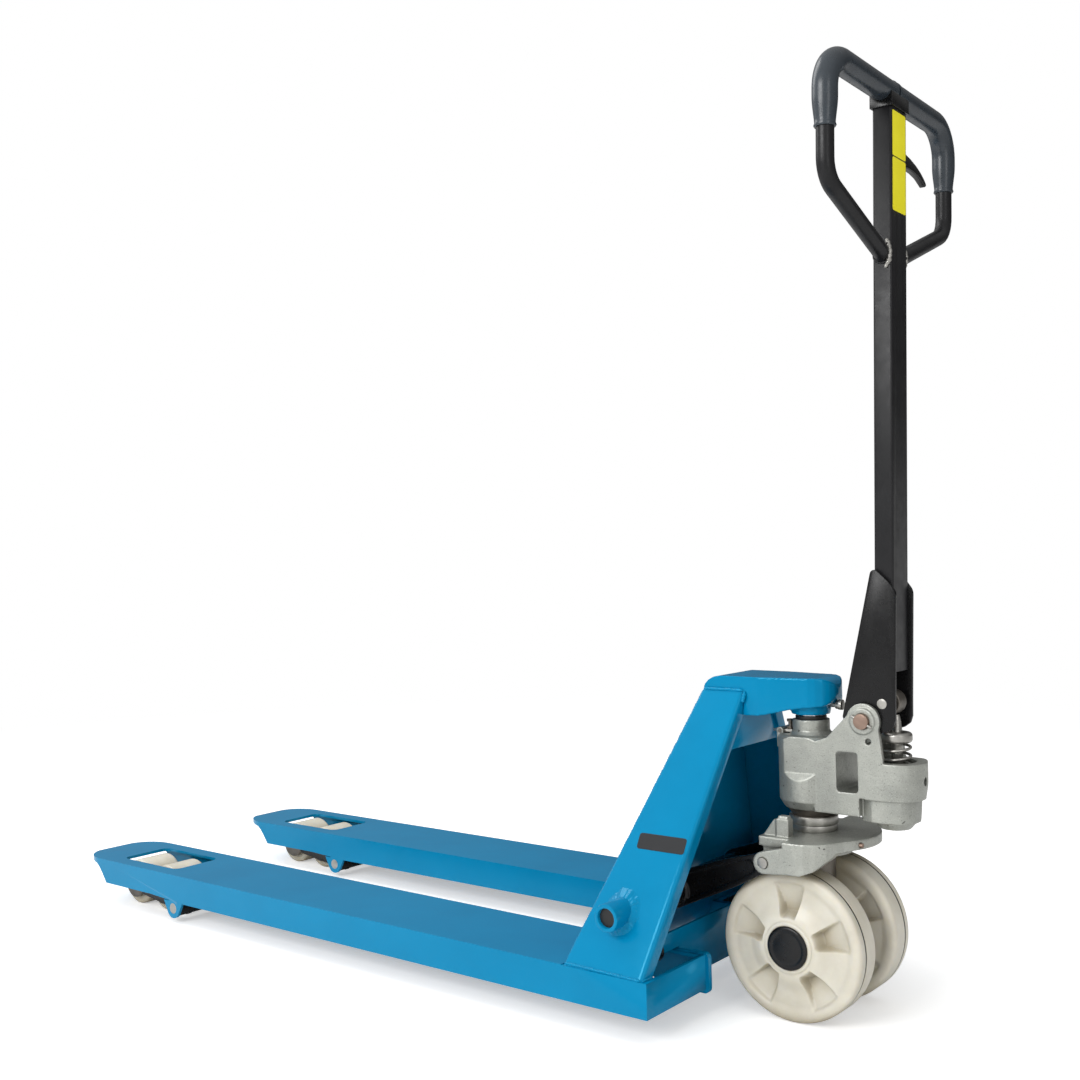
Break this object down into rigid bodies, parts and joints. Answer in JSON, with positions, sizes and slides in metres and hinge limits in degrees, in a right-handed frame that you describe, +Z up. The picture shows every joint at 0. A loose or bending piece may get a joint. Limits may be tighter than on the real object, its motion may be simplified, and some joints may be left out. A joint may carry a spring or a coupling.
{
  "type": "hand pallet truck",
  "caption": "Hand pallet truck: flat load forks and leaning frame raised by a steered pump unit, tilting loop handle with release trigger, steering wheels and tandem load rollers.",
  "frame": {"origin": "centre of the truck's plan outline, on the floor, handle upright and forks lowered", "axes": "+X towards the fork tips, +Y to the left side with the blank label plate, +Z up"},
  "size_m": [1.545, 0.525, 1.2334],
  "materials": {
    "blue_paint": "glossy blue powder coat",
    "black_paint": "semi-gloss black paint",
    "column_paint": "satin dark grey paint",
    "silver_casting": "silver paint over sand casting",
    "chrome": "polished",
    "zinc_steel": "zinc plated",
    "dark_steel": "oiled steel",
    "copper_steel": "copper tinted pin end",
    "nylon": "cream cast nylon",
    "black_plastic": "moulded black plastic",
    "grip_rubber": "smooth blue-grey grip",
    "sticker_yellow": "plain yellow film",
    "label_black": "plain black film",
    "seal": "black wiper ring"
  },
  "bodies": {
    "frame": {"fork_left": "blue_paint", "fork_right": "blue_paint", "gusset_left": "blue_paint", "gusset_right": "blue_paint", "bulkhead": "blue_paint", "cross_web": "blue_paint", "lower_cross_plate": "blue_paint", "head_beam": "blue_paint", "rocker_shaft": "dark_steel", "ram": "chrome", "clamp_screw": "zinc_steel", "gusset_label": "label_black", "bracket_axle_left": "zinc_steel", "bracket_axle_right": "zinc_steel"},
    "cradle": {"thrust_plate": "silver_casting", "cradle_pin_left": "zinc_steel", "cradle_pin_right": "zinc_steel", "bearing_ring_lower": "zinc_steel", "grease_nipple": "copper_steel"},
    "pump": {"pump_body": "silver_casting", "pump_stem": "dark_steel", "bearing_ring_upper": "zinc_steel", "wiper_ring": "seal", "steer_axle": "dark_steel", "handle_pivot_pin": "copper_steel", "split_pin": "zinc_steel", "lever_pin": "dark_steel"},
    "lever": {"release_lever": "zinc_steel", "release_bolt": "dark_steel"},
    "wheel_left": {"steer_wheel_left": "nylon", "hub_cap_left": "black_plastic"},
    "wheel_right": {"steer_wheel_right": "nylon", "hub_cap_right": "black_plastic"},
    "handle": {"handle_column": "column_paint", "handle_loop": "column_paint", "grip_left": "grip_rubber", "grip_right": "grip_rubber", "grip_saddle": "black_plastic", "sticker_upper": "sticker_yellow", "sticker_lower": "sticker_yellow", "trigger_pin": "dark_steel", "handle_cheek_left": "black_paint", "handle_cheek_right": "black_paint", "pump_roller_pin": "zinc_steel"},
    "handle_roller": {"pump_roller": "dark_steel"},
    "plunger": {"plunger": "zinc_steel", "plunger_spring": "zinc_steel"},
    "trigger": {"release_trigger": "black_plastic"},
    "rod": {"control_rod": "dark_steel"},
    "rocker": {"rocker": "black_paint"},
    "push_left": {"push_rod_left": "black_paint"},
    "push_right": {"push_rod_right": "black_paint"},
    "bracket_l": {"bracket_left": "black_paint"},
    "bracket_r": {"bracket_right": "black_paint"},
    "beam_l": {"tandem_beam_left": "dark_steel"},
    "beam_r": {"tandem_beam_right": "dark_steel"},
    "roller_rl": {"roller_rear_left": "nylon"},
    "roller_fl": {"roller_front_left": "nylon"},
    "roller_rr": {"roller_rear_right": "nylon"},
    "roller_fr": {"roller_front_right": "nylon"}
  },
  "joints": [
    {"name": "lift", "type": "slide", "parent": "frame", "child": "cradle", "axis": [0, 0, -1], "range_m": [0, 0.115]},
    {"name": "steer", "type": "hinge", "parent": "cradle", "child": "pump", "pos_m": [-0.6125, 0, 0.25], "axis": [0, 0, 1], "range_deg": [-90, 90]},
    {"name": "wheel_left_spin", "type": "hinge", "parent": "pump", "child": "wheel_left", "pos_m": [-0.6125, 0.0545, 0.1], "axis": [0, 1, 0], "continuous": true},
    {"name": "wheel_right_spin", "type": "hinge", "parent": "pump", "child": "wheel_right", "pos_m": [-0.6125, -0.0545, 0.1], "axis": [0, 1, 0], "continuous": true},
    {"name": "handle_tilt", "type": "hinge", "parent": "pump", "child": "handle", "pos_m": [-0.7045, 0, 0.398], "axis": [0, -1, 0], "range_deg": [0, 75], "stiffness_Nm_per_rad": 18, "springref_deg": -22.92},
    {"name": "handle_roller_spin", "type": "hinge", "parent": "handle", "child": "handle_roller", "pos_m": [-0.7285, 0, 0.421], "axis": [0, 1, 0], "continuous": true},
    {"name": "plunger_stroke", "type": "slide", "parent": "pump", "child": "plunger", "axis": [0, 0, -1], "range_m": [0, 0.0405], "deforming": ["plunger_spring"]},
    {"name": "release_pull", "type": "hinge", "parent": "handle", "child": "trigger", "pos_m": [-0.74625, 0, 1.13978], "axis": [-0.9997, 0, -0.0243], "range_deg": [0, 20], "stiffness_Nm_per_rad": 0.5, "springref_deg": -17.19},
    {"name": "control_rod_slide", "type": "slide", "parent": "handle", "child": "rod", "axis": [0.0243, 0, -0.9997], "range_m": [0, 0.004]},
    {"name": "release_lever_turn", "type": "hinge", "parent": "pump", "child": "lever", "pos_m": [-0.5715, 0, 0.374], "axis": [0, -1, 0], "range_deg": [0, 8.1]},
    {"name": "rocker_turn", "type": "hinge", "parent": "frame", "child": "rocker", "pos_m": [-0.4415, 0, 0.152], "axis": [0, -1, 0], "range_deg": [0, 42.77]},
    {"name": "push_rod_left_turn", "type": "hinge", "parent": "rocker", "child": "push_left", "pos_m": [-0.46408, 0.1875, 0.09426], "axis": [0, 1, 0], "range_deg": [0, 42.77]},
    {"name": "push_rod_right_turn", "type": "hinge", "parent": "rocker", "child": "push_right", "pos_m": [-0.46408, -0.1875, 0.09426], "axis": [0, 1, 0], "range_deg": [0, 42.77]},
    {"name": "bracket_left_turn", "type": "hinge", "parent": "frame", "child": "bracket_l", "pos_m": [0.4805, 0.1875, 0.025], "axis": [0, 1, 0], "range_deg": [0, 62.58]},
    {"name": "beam_left_turn", "type": "hinge", "parent": "bracket_l", "child": "beam_l", "pos_m": [0.601, 0.1875, 0.04], "axis": [0, -1, 0], "range_deg": [0, 62.58]},
    {"name": "roller_rear_left_spin", "type": "hinge", "parent": "beam_l", "child": "roller_rl", "pos_m": [0.5595, 0.1875, 0.04], "axis": [0, 1, 0], "continuous": true},
    {"name": "roller_front_left_spin", "type": "hinge", "parent": "beam_l", "child": "roller_fl", "pos_m": [0.6425, 0.1875, 0.04], "axis": [0, 1, 0], "continuous": true},
    {"name": "bracket_right_turn", "type": "hinge", "parent": "frame", "child": "bracket_r", "pos_m": [0.4805, -0.1875, 0.025], "axis": [0, 1, 0], "range_deg": [0, 62.58]},
    {"name": "beam_right_turn", "type": "hinge", "parent": "bracket_r", "child": "beam_r", "pos_m": [0.601, -0.1875, 0.04], "axis": [0, -1, 0], "range_deg": [0, 62.58]},
    {"name": "roller_rear_right_spin", "type": "hinge", "parent": "beam_r", "child": "roller_rr", "pos_m": [0.5595, -0.1875, 0.04], "axis": [0, 1, 0], "continuous": true},
    {"name": "roller_front_right_spin", "type": "hinge", "parent": "beam_r", "child": "roller_fr", "pos_m": [0.6425, -0.1875, 0.04], "axis": [0, 1, 0], "continuous": true}
  ],
  "couplings": [
    {"joint": "plunger_stroke", "follows": "handle_tilt", "m_per_rad": 0.030711},
    {"joint": "control_rod_slide", "follows": "release_pull", "m_per_rad": 0.0106},
    {"joint": "release_lever_turn", "follows": "release_pull", "ratio": 0.4},
    {"joint": "rocker_turn", "follows": "lift", "rad_per_m": 6.483},
    {"joint": "push_rod_left_turn", "follows": "lift", "rad_per_m": 6.483},
    {"joint": "bracket_left_turn", "follows": "lift", "rad_per_m": 9.4907},
    {"joint": "beam_left_turn", "follows": "lift", "rad_per_m": 9.4907},
    {"joint": "push_rod_right_turn", "follows": "lift", "rad_per_m": 6.483},
    {"joint": "bracket_right_turn", "follows": "lift", "rad_per_m": 9.4907},
    {"joint": "beam_right_turn", "follows": "lift", "rad_per_m": 9.4907}
  ]
}
